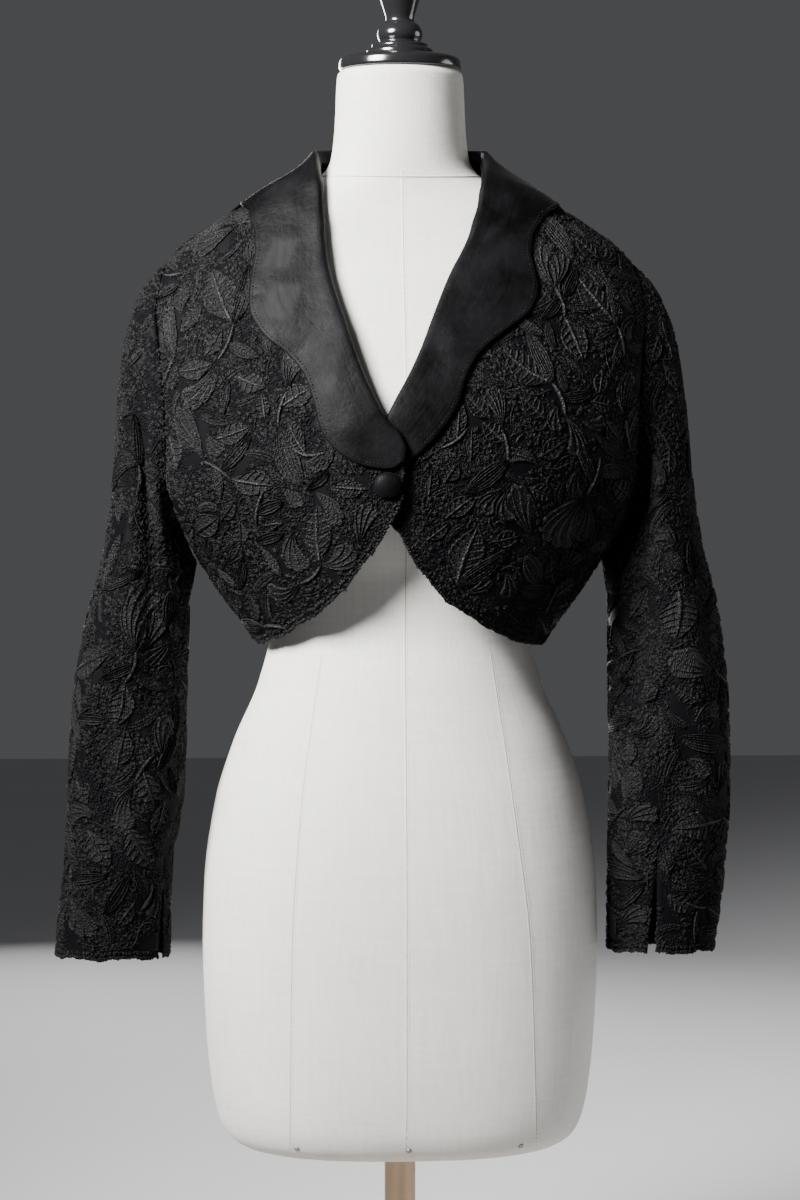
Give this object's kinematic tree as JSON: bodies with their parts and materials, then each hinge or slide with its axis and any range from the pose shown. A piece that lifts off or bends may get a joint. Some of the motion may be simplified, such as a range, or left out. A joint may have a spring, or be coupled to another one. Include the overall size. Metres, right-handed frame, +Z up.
{
  "type": "bolero jacket on a limbless dress form",
  "caption": "Cropped black lace bolero with a scalloped satin shawl collar, rounded lapping fronts, a covered button and slit cuffs, worn by a limbless dress form on a round stand.",
  "frame": {"origin": "centre of the round base's underside, on the floor", "axes": "+Z up, -Y to the front of the jacket, +X to the wearer's left"},
  "size_m": [0.5866, 0.344, 1.2583],
  "materials": {
    "lace": "matte raised embroidery",
    "satin": "soft satin",
    "linen": "matte linen",
    "black_lacquer": "gloss lacquer",
    "pale_wood": "satin"
  },
  "bodies": {
    "root": {"dress_form": "linen", "neck_cap": "black_lacquer", "stand_pole": "pale_wood", "stand_base": "pale_wood", "front_right": "lace", "front_left": "lace", "back": "lace", "sleeve_right": "lace", "sleeve_left": "lace", "collar_right": "satin", "collar_left": "satin", "button": "satin"}
  },
  "joints": []
}
